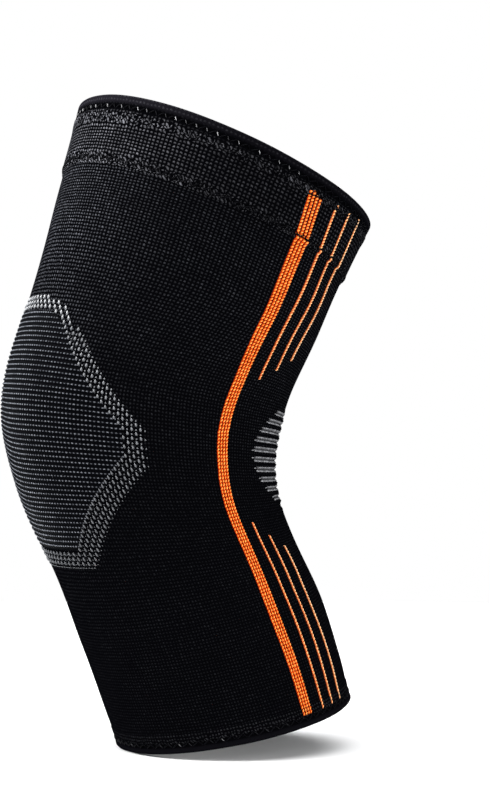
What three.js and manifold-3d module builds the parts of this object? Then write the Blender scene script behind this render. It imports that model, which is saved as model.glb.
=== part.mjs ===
// A knitted compression knee sleeve, in the shape it takes on a knee bent by about 40 degrees.
// Millimetres. +Z points up the thigh, -Y to the front of the knee, +X to the wearer's left.
// The origin is the middle of the knee's hinge axis, which runs along X.
import * as THREE from "three";
import { mergeVertices } from "three/addons/utils/BufferGeometryUtils.js";
import Module from "manifold-3d";

// ---- Driving dimensions ----------------------------------------------------------------------

// The sleeve follows a centre line: an arc for BEND_REACH on each side of the knee, then straight.
const THIGH_LEAN = 20; // degrees from vertical
const CALF_LEAN = 22;
const BEND_REACH = 50;
const CENTRE_Y = -14; // the centre line's place at the knee, in front of the hinge axis

// Sections across the centre line. s is the length along it from the knee, up the thigh.
const SECTIONS = [
  { s: -138, front: 54, back: 51.5, side: 53, tilt: -12 }, // lower rim
  { s: -118, front: 54, back: 54.5, side: 53.5, tilt: -12 }, // above the hem
  { s: -90, front: 53, back: 55.5, side: 54.5, tilt: -12 }, // calf
  { s: -50, front: 53.5, back: 52.5, side: 56, tilt: -10 }, // below the kneecap
  { s: -20, front: 60.3, back: 54, side: 57, tilt: -4 }, // back of the knee
  { s: 10, front: 65.5, back: 60, side: 59, tilt: 3 }, // kneecap
  { s: 45, front: 61, back: 66, side: 62, tilt: 11 }, // above the kneecap
  { s: 85, front: 63, back: 68, side: 66, tilt: 19 }, // thigh
  { s: 124, front: 66.5, back: 73, side: 69, tilt: 23 }, // upper rim
];
const LOWER_RIM = SECTIONS[0].s;
const UPPER_RIM = SECTIONS[SECTIONS.length - 1].s;

const KNIT = 2.2; // thickness of the stretched knit
const GAP = 0.4; // clearance between neighbouring pieces
const KNEE_ZONE = 64; // the knit bends between -KNEE_ZONE and +KNEE_ZONE
const KNEECAP_ZONE = 22; // the part of the knee zone that covers the kneecap
const END_GAP = 0.2; // how far an inlay's channel runs past the end of its zone
const AROUND = 40; // facets round the sleeve
const ROW_STEP = 16; // facet height along the sleeve

// The doubled cuff at the top and the turned hem at the bottom.
const CUFF_BOTTOM = 94;
const CUFF_THICKNESS = 2.8;
const HEM_TOP = -129;
const HEM_THICKNESS = 2.8;

// The elastic band inside the cuff and the two wavy silicone strips on it.
const BAND = { from: 99, to: 117, thickness: 1 };
const GRIP = { centres: [104, 112], width: 3.2, thickness: 0.8, wave: 1.2, waves: 14 };

// Zigzag sewing thread on the outside.
const THREAD_RADIUS = 0.45;
const ZIGZAG_HEIGHT = 2.4;
const ZIGZAGS = 48;
const STITCH_ROWS = { cuff_stitch_row_top: 119.2, cuff_stitch_row_bottom: 96.3, hem_stitch_row: -134 };

// Face yarns lie in shallow channels of the ground knit.
const INLAY_DEPTH = 1;
const INLAY_PROUD = 0.3;
// The orange stripes are 4 loop columns wide and the thin lines 1, so their spans are angles.
const STRIPE_SPAN = 6;
const STRIPE_TOP = 116.3;
const STRIPE_ANGLE = { thigh: 109, knee: 100.3, calf: 104 }; // degrees round from the front
const STRIPE_FRONTMOST = -8; // the s where the stripe is nearest the front
const LINE_SPAN = 1.4;
// The thin lines run beside the stripe, each at its own angle behind it.
const UPPER_LINES = [
  { behind: 11, end: 24 },
  { behind: 19.2, end: 31 },
  { behind: 27.3, end: 38 },
];
const LOWER_LINES = [
  { behind: 10.5, end: -43 },
  { behind: 18.3, end: -51 },
  { behind: 27, end: -58 },
];

// The six-sided patella field: half angles from the front at its top, side corners and bottom.
const FIELD = { top: 40.5, topHalf: 19, corner: -5, cornerHalf: 60, bottom: -43.5, bottomHalf: 25.5 };
const BORDER = { top: 45.3, topHalf: 23, corner: -7.5, cornerHalf: 69, bottom: -51.5, bottomHalf: 29 };
const UPPER_BULGE = 1.4; // how far the edges above and below the side corners bow outwards
const LOWER_BULGE = 1.3;

// Ten bars of open knit across the back of the knee. Their ends draw a lens.
const BARS = { count: 10, top: 9.8, pitch: 4.9, height: 2.5, middle: -11.8, midAngle: 119.7, spread: 0.034 };

const COLOURS = {
  ground: 0x17181d,
  cuff: 0x14151a,
  thread: 0x3a3c42,
  orange: 0xe8702a,
  grey: 0x8c9097,
  border: 0x9a9da2,
  bar: 0x6f7276,
  band: 0x1d1e22,
  silicone: 0x5d6066,
};

// ---- The sleeve's surface --------------------------------------------------------------------

const radians = THREE.MathUtils.degToRad;

// The slope of one section value at section i.
function slope(key, i) {
  const before = SECTIONS[Math.max(i - 1, 0)];
  const after = SECTIONS[Math.min(i + 1, SECTIONS.length - 1)];
  return (after[key] - before[key]) / (after.s - before.s);
}

// One section value at s, by a smooth curve through the sections.
function sectionValue(key, s) {
  let i = 0;
  while (i < SECTIONS.length - 2 && s > SECTIONS[i + 1].s) i += 1;
  const a = SECTIONS[i];
  const b = SECTIONS[i + 1];
  const h = b.s - a.s;
  const u = THREE.MathUtils.clamp((s - a.s) / h, 0, 1);
  const rise = u * u * (3 - 2 * u);
  const easeOut = u * (1 - u) * (1 - u) * h * slope(key, i);
  const easeIn = u * u * (u - 1) * h * slope(key, i + 1);
  return a[key] + rise * (b[key] - a[key]) + easeOut + easeIn;
}

// The centre line at s, as y and z.
function centre(s) {
  const lean = radians(s > 0 ? THIGH_LEAN : CALF_LEAN);
  const radius = BEND_REACH / lean;
  const turned = Math.min(Math.abs(s), BEND_REACH) / radius;
  const straight = Math.max(Math.abs(s) - BEND_REACH, 0);
  const y = radius * (1 - Math.cos(turned)) + straight * Math.sin(turned);
  const z = radius * Math.sin(turned) + straight * Math.cos(turned);
  return { y: CENTRE_Y + y, z: Math.sign(s) * z };
}

// A point of the sleeve: s up the leg, angle round from the front towards +X, out from the surface.
function skin(s, angle, out) {
  const a = radians(angle);
  const tilt = radians(sectionValue("tilt", s));
  const depthKey = Math.cos(a) > 0 ? "front" : "back";
  const depth = -(sectionValue(depthKey, s) + out) * Math.cos(a);
  const c = centre(s);
  const x = (sectionValue("side", s) + out) * Math.sin(a);
  return [x, c.y + depth * Math.cos(tilt), c.z - depth * Math.sin(tilt)];
}

// Degrees round the sleeve that a length in mm takes up at s.
function arcAngle(length, s) {
  return THREE.MathUtils.radToDeg(length / sectionValue("side", s));
}

function smoothStep(u) {
  return THREE.MathUtils.smoothstep(u, 0, 1);
}

// ---- Solids on the surface -------------------------------------------------------------------

const wasm = await Module();
wasm.setup();

function geometryFrom(points, faces) {
  const geometry = new THREE.BufferGeometry();
  geometry.setAttribute("position", new THREE.Float32BufferAttribute(points.flat(), 3));
  geometry.setIndex(faces.flat());
  return geometry;
}

function manifoldFrom(geometry) {
  const bare = geometry.clone();
  bare.deleteAttribute("normal");
  const merged = mergeVertices(bare, 1e-4);
  const vertProperties = merged.attributes.position.array;
  const triVerts = new Uint32Array(merged.index.array);
  return new wasm.Manifold(new wasm.Mesh({ numProp: 3, vertProperties, triVerts }));
}

function geometryOf(solid) {
  const mesh = solid.getMesh();
  const geometry = new THREE.BufferGeometry();
  geometry.setAttribute("position", new THREE.BufferAttribute(mesh.vertProperties, 3));
  geometry.setIndex(new THREE.BufferAttribute(mesh.triVerts, 1));
  geometry.computeVertexNormals();
  return geometry;
}

// A closed ring: section(angle) gives its outline, as [s, out] pairs in anticlockwise order.
function ring(section, steps) {
  const points = [];
  const faces = [];
  let sides = 0;
  for (let i = 0; i < steps; i += 1) {
    const angle = (360 * i) / steps;
    const outline = section(angle);
    sides = outline.length;
    outline.forEach(([s, out]) => points.push(skin(s, angle, out)));
  }
  for (let i = 0; i < steps; i += 1) {
    for (let j = 0; j < sides; j += 1) {
      const a = i * sides + j;
      const b = i * sides + ((j + 1) % sides);
      const c = ((i + 1) % steps) * sides + j;
      const d = ((i + 1) % steps) * sides + ((j + 1) % sides);
      faces.push([a, b, c], [b, d, c]);
    }
  }
  return geometryFrom(points, faces);
}

function steps(from, to, size) {
  const count = Math.max(1, Math.round(Math.abs(to - from) / size));
  return Array.from({ length: count + 1 }, (_, i) => from + ((to - from) * i) / count);
}

// A tube of the sleeve between two lengths, from the outer surface inwards.
function tube(from, to, outside, thickness) {
  const rows = steps(from, to, ROW_STEP);
  const inner = rows.map((s) => [s, outside - thickness]);
  const outer = rows.map((s) => [s, outside]).reverse();
  const outline = [...inner, ...outer];
  return ring(() => outline, AROUND);
}

// A patch of the surface: rows of s, each from one angle to another, between two heights.
function patch(rows, span, columns, low, high) {
  const points = [];
  const faces = [];
  const width = columns + 1;
  const layer = rows.length * width;
  const bottom = rows[0];
  const top = rows[rows.length - 1];
  for (const out of [low, high]) {
    for (const s of rows) {
      const [from, to] = span(s, bottom, top);
      for (let j = 0; j <= columns; j += 1) points.push(skin(s, from + ((to - from) * j) / columns, out));
    }
  }
  const quad = (a, b, c, d) => faces.push([a, b, c], [a, c, d]);
  for (let i = 0; i < rows.length - 1; i += 1) {
    for (let j = 0; j < columns; j += 1) {
      const a = i * width + j;
      quad(a, a + width, a + width + 1, a + 1);
      quad(layer + a, layer + a + 1, layer + a + width + 1, layer + a + width);
    }
    const left = i * width;
    const right = left + columns;
    quad(left, layer + left, layer + left + width, left + width);
    quad(right, right + width, layer + right + width, layer + right);
  }
  const last = (rows.length - 1) * width;
  for (let j = 0; j < columns; j += 1) {
    quad(j, j + 1, layer + j + 1, layer + j);
    quad(last + j, layer + last + j, layer + last + j + 1, last + j + 1);
  }
  return geometryFrom(points, faces);
}

// A face yarn's solid, or, grown by GAP, the channel that it lies in.
function inlay(shape, asChannel, depth = INLAY_DEPTH) {
  const grow = asChannel ? GAP : 0;
  const low = -depth - grow;
  const high = asChannel ? KNIT : INLAY_PROUD;
  const rows = steps(shape.from - grow, shape.to + grow, shape.step);
  return patch(rows, (s) => shape.span(s, grow), shape.columns, low, high);
}

// ---- Shapes of the face yarns ----------------------------------------------------------------

function stripeAngle(s) {
  const { thigh, knee, calf } = STRIPE_ANGLE;
  const far = s > 0 ? thigh : calf;
  return knee + (far - knee) * smoothStep(Math.abs(s - STRIPE_FRONTMOST) / KNEE_ZONE);
}

// A stripe on one side: side is +1 for the wearer's left and -1 for the right.
function stripeShape(from, to, behind, width, side) {
  const span = (s, grow) => {
    const half = width / 2 + arcAngle(grow, s);
    const middle = (stripeAngle(s) + behind) * side;
    return [middle - half, middle + half];
  };
  return { from, to, span, step: 12, columns: 1 };
}

// The half angle of a six-sided field at s.
function fieldHalf(field, s, grow) {
  const above = s > field.corner;
  const end = above ? field.top : field.bottom;
  const endHalf = above ? field.topHalf : field.bottomHalf;
  const bulge = above ? UPPER_BULGE : LOWER_BULGE;
  const u = THREE.MathUtils.clamp((s - end) / (field.corner - end), 0, 1);
  const half = endHalf + (field.cornerHalf - endHalf) * (1 - (1 - u) ** bulge);
  return half + arcAngle(grow * 1.5, s);
}

function fieldShape(field) {
  const span = (s, grow) => {
    const half = fieldHalf(field, s, grow);
    return [-half, half];
  };
  return { from: field.bottom, to: field.top, span, step: 8, columns: 16 };
}

function barShape(index) {
  const middle = BARS.top - index * BARS.pitch;
  const start = BARS.midAngle + BARS.spread * (middle - BARS.middle) ** 2;
  const span = (s, grow) => {
    const more = arcAngle(grow, s);
    return [start - more, 360 - start + more];
  };
  return { from: middle - BARS.height / 2, to: middle + BARS.height / 2, span, step: BARS.height, columns: 8 };
}

// ---- Building and placing the pieces ---------------------------------------------------------

const sleeve = new THREE.Group();
const thigh = new THREE.Group();
const knee = new THREE.Group();
const calf = new THREE.Group();
sleeve.add(thigh, knee, calf);

function add(group, name, geometry, colour, roughness = 0.9) {
  const material = new THREE.MeshStandardMaterial({ color: colour, roughness, metalness: 0 });
  const mesh = new THREE.Mesh(geometry, material);
  mesh.name = name;
  group.add(mesh);
}

// The inlays by name, each with the group it moves with.
const inlays = [];
function addInlay(group, name, shape, colour) {
  inlays.push(shape);
  add(group, name, inlay(shape, false), colour, 0.7);
}

function addSideStripes() {
  for (const [label, side] of [["left", 1], ["right", -1]]) {
    const stripe = (from, to) => stripeShape(from, to, 0, STRIPE_SPAN, side);
    const { orange } = COLOURS;
    addInlay(thigh, `side_stripe_upper_${label}`, stripe(KNEE_ZONE + GAP + END_GAP, STRIPE_TOP), orange);
    addInlay(knee, `side_stripe_knee_${label}`, stripe(-KNEE_ZONE + END_GAP, KNEE_ZONE - END_GAP), orange);
    addInlay(calf, `side_stripe_lower_${label}`, stripe(HEM_TOP + GAP + END_GAP, -KNEE_ZONE - GAP - END_GAP), orange);
  }
}

function addThinLines() {
  for (const [label, side] of [["left", 1], ["right", -1]]) {
    UPPER_LINES.forEach(({ behind, end }, i) => {
      const shape = stripeShape(end, STRIPE_TOP, behind, LINE_SPAN, side);
      addInlay(thigh, `thin_line_upper_${label}_${i + 1}`, shape, COLOURS.orange);
    });
    LOWER_LINES.forEach(({ behind, end }, i) => {
      const shape = stripeShape(HEM_TOP + GAP + END_GAP, end, behind, LINE_SPAN, side);
      addInlay(calf, `thin_line_lower_${label}_${i + 1}`, shape, COLOURS.orange);
    });
  }
}

function addPatella() {
  const field = inlay(fieldShape(FIELD), false);
  const opening = manifoldFrom(inlay(fieldShape(FIELD), true, KNIT));
  const border = manifoldFrom(inlay(fieldShape(BORDER), false)).subtract(opening);
  inlays.push(fieldShape(BORDER));
  add(knee, "patella_field", field, COLOURS.grey);
  add(knee, "patella_border", geometryOf(border), COLOURS.border);
}

function addBars() {
  for (let i = 0; i < BARS.count; i += 1) {
    addInlay(knee, `popliteal_bar_${String(i + 1).padStart(2, "0")}`, barShape(i), COLOURS.bar);
  }
}

// A ground tube with the channels of every inlay cut into it.
function addGround(group, name, geometry, colour) {
  const channels = inlays.map((shape) => manifoldFrom(inlay(shape, true)));
  const solid = channels.reduce((left, channel) => left.subtract(channel), manifoldFrom(geometry));
  add(group, name, geometryOf(solid), colour);
}

function addGroundKnit() {
  const { ground, cuff } = COLOURS;
  addGround(thigh, "upper_cuff", tube(CUFF_BOTTOM + GAP, UPPER_RIM, 0, CUFF_THICKNESS), cuff);
  addGround(thigh, "thigh_knit", tube(KNEE_ZONE + GAP, CUFF_BOTTOM, 0, KNIT), ground);
  addGround(knee, "knee_knit_upper", tube(KNEECAP_ZONE + GAP, KNEE_ZONE, 0, KNIT), ground);
  addGround(knee, "knee_knit_middle", tube(-KNEECAP_ZONE, KNEECAP_ZONE, 0, KNIT), ground);
  addGround(knee, "knee_knit_lower", tube(-KNEE_ZONE, -KNEECAP_ZONE - GAP, 0, KNIT), ground);
  addGround(calf, "calf_knit", tube(HEM_TOP + GAP, -KNEE_ZONE - GAP, 0, KNIT), ground);
  addGround(calf, "lower_hem", tube(LOWER_RIM, HEM_TOP, 0, HEM_THICKNESS), cuff);
}

// The band lies inside the cuff, and the silicone strips lie inside the band.
function addGrip() {
  const bandOutside = -CUFF_THICKNESS - GAP;
  add(thigh, "upper_grip_band", tube(BAND.from, BAND.to, bandOutside, BAND.thickness), COLOURS.band);
  const high = bandOutside - BAND.thickness - GAP;
  const low = high - GRIP.thickness;
  const half = GRIP.width / 2;
  GRIP.centres.forEach((centreS, i) => {
    const strip = (angle) => {
      const s = centreS + GRIP.wave * Math.sin(radians(angle * GRIP.waves));
      return [[s - half, low], [s + half, low], [s + half, high], [s - half, high]];
    };
    const name = ["grip_strip_lower", "grip_strip_upper"][i];
    add(thigh, name, ring(strip, AROUND * 2), COLOURS.silicone, 0.4);
  });
}

// A zigzag thread lying on the outside, with a four-sided section.
function addStitchRows() {
  const out = INLAY_PROUD + GAP + THREAD_RADIUS;
  for (const [name, middle] of Object.entries(STITCH_ROWS)) {
    const corner = 360 / (2 * ZIGZAGS);
    const thread = (angle) => {
      const up = Math.round(angle / corner) % 2 ? 1 : -1;
      const s = middle + (up * ZIGZAG_HEIGHT) / 2;
      const r = THREAD_RADIUS;
      return [[s, out - r], [s + r, out], [s, out + r], [s - r, out]];
    };
    add(name.startsWith("hem") ? calf : thigh, name, ring(thread, 2 * ZIGZAGS), COLOURS.thread);
  }
}

addSideStripes();
addThinLines();
addPatella();
addBars();
addGroundKnit();
addGrip();
addStitchRows();

export default sleeve;
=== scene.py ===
import math

import bpy
import numpy as np
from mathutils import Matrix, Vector


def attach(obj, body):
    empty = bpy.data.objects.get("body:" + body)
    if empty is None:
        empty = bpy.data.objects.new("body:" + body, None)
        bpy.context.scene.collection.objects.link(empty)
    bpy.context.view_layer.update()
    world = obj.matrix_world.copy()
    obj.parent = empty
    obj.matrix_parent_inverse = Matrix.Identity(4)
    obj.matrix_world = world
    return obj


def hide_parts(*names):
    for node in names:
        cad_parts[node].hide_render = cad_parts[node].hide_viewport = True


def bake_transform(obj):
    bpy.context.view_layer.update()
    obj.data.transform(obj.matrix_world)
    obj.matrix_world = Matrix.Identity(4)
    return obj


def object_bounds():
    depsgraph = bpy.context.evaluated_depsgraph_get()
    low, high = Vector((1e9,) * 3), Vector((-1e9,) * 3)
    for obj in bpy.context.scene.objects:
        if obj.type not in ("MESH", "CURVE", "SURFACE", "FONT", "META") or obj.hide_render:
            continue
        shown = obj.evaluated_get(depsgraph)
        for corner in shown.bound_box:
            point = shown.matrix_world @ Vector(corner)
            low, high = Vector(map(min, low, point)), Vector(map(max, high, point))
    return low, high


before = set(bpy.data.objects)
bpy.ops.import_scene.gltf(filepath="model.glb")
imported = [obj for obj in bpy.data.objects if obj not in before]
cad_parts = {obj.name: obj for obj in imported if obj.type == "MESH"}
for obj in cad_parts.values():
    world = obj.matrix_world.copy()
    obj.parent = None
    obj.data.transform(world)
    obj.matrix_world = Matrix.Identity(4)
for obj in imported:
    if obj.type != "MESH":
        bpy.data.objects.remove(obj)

cad_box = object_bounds()

# A knitted compression knee sleeve. Lengths are in millimetres until a mesh is made, and MM turns them
# into metres. s is the length along the sleeve's centre line from the knee, up the thigh. Angles are
# degrees round the sleeve from the front towards +X. "out" is the height above the CAD surface.
MM = 0.001

# ---- Driving dimensions, the same as the CAD model's -------------------------------------------

THIGH_LEAN, CALF_LEAN, BEND_REACH, CENTRE_Y = 20, 22, 50, -14
SECTIONS = {
    "s": [-138, -118, -90, -50, -20, 10, 45, 85, 124],
    "front": [54, 54, 53, 53.5, 60.3, 65.5, 61, 63, 66.5],
    "back": [51.5, 54.5, 55.5, 52.5, 54, 60, 66, 68, 73],
    "side": [53, 53.5, 54.5, 56, 57, 59, 62, 66, 69],
    "tilt": [-12, -12, -12, -10, -4, 3, 11, 19, 23],
}
LOWER_RIM, UPPER_RIM = SECTIONS["s"][0], SECTIONS["s"][-1]
KNIT = 2.2
KNEE_ZONE = 64
CUFF_BOTTOM, HEM_TOP = 94, -129
CUFF_THICKNESS = 2.8
CUFF_ROWS = {"cuff_stitch_row_top": 119.2, "cuff_stitch_row_bottom": 96.3}
HEM_ROW = -134
BAND_FROM, BAND_TO, BAND_OUT = 99, 117, -3.2
GRIP_CENTRES, GRIP_WAVE, GRIP_WAVES = [104, 112], 1.2, 14
STRIPE_TOP, STRIPE_SPAN, STRIPE_FRONTMOST = 116.3, 6, -8
STRIPE_ANGLE = {"thigh": 109, "knee": 100.3, "calf": 104}
LINE_SPAN = 1.4
UPPER_LINES = [(11, 24), (19.2, 31), (27.3, 38)]
LOWER_LINES = [(10.5, -43), (18.3, -51), (27, -58)]
BARS = {
    "count": 10,
    "top": 9.8,
    "pitch": 4.9,
    "height": 2.5,
    "middle": -11.8,
    "mid_angle": 119.7,
    "spread": 0.034,
}

# ---- The knit's own dimensions -----------------------------------------------------------------

WALES = 216  # loop columns round the sleeve
FIELD_WALES = 216  # and round the patella field and its border
COURSE, CUFF_COURSE = 1.42, 1.56  # height of one loop, along the centre line
AROUND = 240  # mesh columns round the sleeve
STRIPE_WALES = 4
RIB_PITCH = 1.7  # from one grey rib of the patella field to the next, along the centre line
COURSE_TILT = 6.5  # how far the bent knee pulls the courses up at the front
BOW = {"height": 5.6, "s": -22, "reach": 24, "angle": -26, "half": 19}  # where it pulls them up most
ROW_DROP = 2.2  # from the cuff's lower stitch row down to its edge
ZIGZAGS, HEM_ZIGZAGS = 88, 70

# The patella field and its border: s at their ends, and half angles there and at the blunt side
# corners. "upper" and "lower" are the half angles that the slanted sides would reach at s = 0. These
# sides follow the knit, so they lie up to about 3 mm from the CAD model's.
FIELD = {"top": 40.5, "top_half": 19, "bottom": -43.5, "upper": 56.5, "lower": 72.4, "blunt": 58.5}
BORDER = {
    "top": 45.3,
    "top_half": 21.5,
    "corner": -7.5,
    "bottom": -51.5,
    "bottom_half": 29,
    "upper": 64.9,
    "lower": 83.8,
    "blunt": 66.8,
}
TOP_CORNER = {"course": 24, "cut": 0.03}  # above this course the upper sides curve inwards
FIRST_BEADS = 4.2  # how far the first row of beads lies below the border's end
BEAD = {"length": 1.45, "width": 0.88, "height": 0.6}
SMALL_BEAD = {"size": 0.6, "height": 0.3, "drop": 0.25}

# ---- The sleeve's surface ----------------------------------------------------------------------


def section_value(key, s):
    """A section value at s, by the same smooth curve through the sections as the CAD model's."""
    at, value = np.array(SECTIONS["s"], float), np.array(SECTIONS[key], float)
    before = np.maximum(np.arange(len(at)) - 1, 0)
    after = np.minimum(np.arange(len(at)) + 1, len(at) - 1)
    slope = (value[after] - value[before]) / (at[after] - at[before])
    i = np.clip(np.searchsorted(at, s) - 1, 0, len(at) - 2)
    h = at[i + 1] - at[i]
    u = np.clip((s - at[i]) / h, 0, 1)
    rise = u * u * (3 - 2 * u) * (value[i + 1] - value[i])
    return value[i] + rise + u * (1 - u) ** 2 * h * slope[i] + u * u * (u - 1) * h * slope[i + 1]


def centre(s):
    """The centre line's y and z at s."""
    lean = np.radians(np.where(s > 0, THIGH_LEAN, CALF_LEAN))
    radius = BEND_REACH / lean
    turned = np.minimum(np.abs(s), BEND_REACH) / radius
    straight = np.maximum(np.abs(s) - BEND_REACH, 0)
    y = radius * (1 - np.cos(turned)) + straight * np.sin(turned)
    z = radius * np.sin(turned) + straight * np.cos(turned)
    return CENTRE_Y + y, np.sign(s) * z


def smooth(u):
    u = np.clip(u, 0, 1)
    return u * u * (3 - 2 * u)


def rim_dip(s, angle):
    """How much the top of the sleeve sags at the sides and rises at the front."""
    a = np.radians(angle)
    return smooth((s - 60) / (UPPER_RIM - 60)) * (0.9 * np.cos(a) - 2.4 * np.sin(a) ** 2)


def skin(s, angle, out):
    """Points of the sleeve in millimetres, as an array with x, y and z last."""
    s, angle, out = np.broadcast_arrays(*[np.asarray(v, float) for v in (s, angle, out)])
    dip = rim_dip(s, angle)
    a = np.radians(angle)
    tilt = np.radians(section_value("tilt", s))
    flat_s = s + dip
    reach = np.where(np.cos(a) > 0, section_value("front", s), section_value("back", s))
    depth = -(reach + out) * np.cos(a)
    y, z = centre(flat_s)
    x = (section_value("side", s) + out) * np.sin(a)
    return np.stack([x, y + depth * np.cos(tilt), z - depth * np.sin(tilt)], axis=-1)


def arc_angle(length, s):
    return np.degrees(length / section_value("side", s))


def bump_at(s, middle, width):
    return np.exp(-(((s - middle) / width) ** 2))


def lower_row(angle):
    """The s of the cuff's lower stitch row, which sags at the sides and the back."""
    a = np.radians(angle)
    return CUFF_ROWS["cuff_stitch_row_bottom"] + 2.4 * np.cos(a) - 1.4 * np.sin(a) ** 2


def course_rise(s, angle):
    """How far a course of the knit lies above its s: the bent knee tilts the courses near it."""
    near_knee = smooth((s + 85) / 50) * smooth((105 - s) / 45)
    turned = np.mod(angle + 180, 360) - 180
    bow = BOW["height"] * bump_at(s, BOW["s"], BOW["reach"]) * bump_at(turned, BOW["angle"], BOW["half"])
    return COURSE_TILT * near_knee * np.cos(np.radians(angle)) + bow


def level(course):
    """The s of a course beside the kneecap, where it is clear of the bow."""
    return course + course_rise(course, 20.0)


# A bar's course less its s where the bar starts
BAR_RISE = 0.35 - COURSE_TILT * math.cos(math.radians(BARS["mid_angle"] + 5))


def crowding(s, angle):
    """How far the loop columns crowd towards the sides of the knee and calf, in radians."""
    share = smooth((60 - s) / 50) * (1 - 0.45 * smooth((-10 - s) / 70))
    a = np.radians(angle)
    return share * (0.25 * np.sin(a) - 0.1 * np.sin(2 * a))


def cuff_step(s, angle):
    """How much higher the cloth is on the cuff than on the single knit below it."""
    return 0.75 * smooth((s - lower_row(angle) + ROW_DROP + 0.5) / 0.9)


def relief(s, angle):
    """The small folds of the stretched knit: soft ridges between the bars behind the knee."""
    a = np.mod(angle, 360)
    behind = smooth((55 - np.abs(a - 180)) / 25)
    from_top = s - BAR_RISE - BARS["top"]
    lens = smooth((from_top + 54) / 8) * smooth((6 - from_top) / 8)
    ridges = -0.6 * np.cos(2 * np.pi * from_top / BARS["pitch"])
    slow = 0.18 * np.sin(s / 9 + 2 * np.sin(np.radians(3 * a))) * np.sin(np.radians(5 * a) + s / 31)
    return behind * lens * ridges + slow


# ---- Meshes ------------------------------------------------------------------------------------


def make_mesh(name, points, quads, uvs, material, values=None):
    """A smooth mesh from points in millimetres, four corners a face, and a uv for each corner."""
    mesh = bpy.data.meshes.new(name)
    mesh.vertices.add(len(points))
    mesh.vertices.foreach_set("co", (points * MM).astype(np.float32).ravel())
    mesh.loops.add(quads.size)
    mesh.loops.foreach_set("vertex_index", quads.astype(np.int32).ravel())
    mesh.polygons.add(len(quads))
    mesh.polygons.foreach_set("loop_start", np.arange(0, quads.size, 4, dtype=np.int32))
    mesh.polygons.foreach_set("use_smooth", np.ones(len(quads), bool))
    mesh.uv_layers.new(name="stitches").data.foreach_set("uv", uvs.astype(np.float32).ravel())
    for key, value in (values or {}).items():
        mesh.attributes.new(key, "FLOAT", "POINT").data.foreach_set("value", value.astype(np.float32).ravel())
    mesh.update(calc_edges=True)
    mesh.validate()
    mesh.materials.append(material)
    piece = bpy.data.objects.new(name, mesh)
    bpy.context.scene.collection.objects.link(piece)
    return piece


def grid_faces(rows, columns, wrap_rows=False, wrap_columns=False):
    """Corners of the faces of a grid, as vertex numbers and as unwrapped rows and columns."""
    r = np.arange(rows if wrap_rows else rows - 1)[:, None]
    c = np.arange(columns if wrap_columns else columns - 1)[None, :]
    corner_r = np.stack([r + 0 * c, r + 0 * c, r + 1 + 0 * c, r + 1 + 0 * c], axis=-1).reshape(-1, 4)
    corner_c = np.stack([c + 0 * r, c + 1 + 0 * r, c + 1 + 0 * r, c + 0 * r], axis=-1).reshape(-1, 4)
    quads = (corner_r % rows) * columns + corner_c % columns
    return quads, corner_r, corner_c


def ring_piece(
    name, outline, around, material, wales=WALES, course=COURSE, shape=None, shift=None, values=None
):
    """A closed ring. outline is a list of (s, out) that starts outside and goes up, then down inside.
    shape(s, angle, out) may change the heights, and shift(s, angle) may move the rows."""
    rows, heights = [np.array(v, float)[:, None] for v in zip(*outline)]
    angle = np.arange(around)[None, :] * 360 / around
    s = rows + np.zeros_like(angle) if shift is None else rows + shift(rows, angle)
    out = heights + np.zeros_like(angle) if shape is None else shape(rows, angle, heights)
    points = skin(s, angle, out)
    quads, r, c = grid_faces(len(outline), around, wrap_rows=True, wrap_columns=True)
    steps = np.hypot(np.diff(rows[:, 0]), np.diff(heights[:, 0]))
    path = np.concatenate([[0], np.cumsum(steps), [steps.sum() + 1]]) + outline[0][0]
    turned = c * 360 / around
    crowd = crowding(np.array([s for s, _ in outline])[r % len(outline)], turned)
    uvs = np.stack([(turned / 360 + crowd / (2 * np.pi)) * wales, path[r] / course], axis=-1)
    made = {key: (value(rows, angle) + 0 * rows * angle).ravel() for key, value in (values or {}).items()}
    return make_mesh(name, points.reshape(-1, 3), quads, uvs, material, made)


def patch_piece(name, s, angle, out, uv, material, keep=None, values=None):
    """An unclosed patch with its edge turned down into the knit. All are grids of one shape; keep says which
    points belong to it."""
    points = skin(s, angle, out)
    quads, _, _ = grid_faces(*s.shape)
    if keep is not None:
        quads = quads[keep.ravel()[quads].all(axis=1)]
    used = np.unique(quads)
    number = np.zeros(s.size, int)
    number[used] = np.arange(len(used))
    uvs = uv.reshape(-1, 2)[quads]
    made = {key: (value + np.zeros_like(s)).ravel()[used] for key, value in (values or {}).items()}
    return make_mesh(name, points.reshape(-1, 3)[used], number[quads], uvs, material, made)


def join_pieces(pieces, name):
    """Joins meshes into one piece, which keeps the first one's material."""
    with bpy.context.temp_override(active_object=pieces[0], selected_editable_objects=pieces):
        bpy.ops.object.join()
    pieces[0].name = name
    return pieces[0]


# ---- Materials ---------------------------------------------------------------------------------


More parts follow.
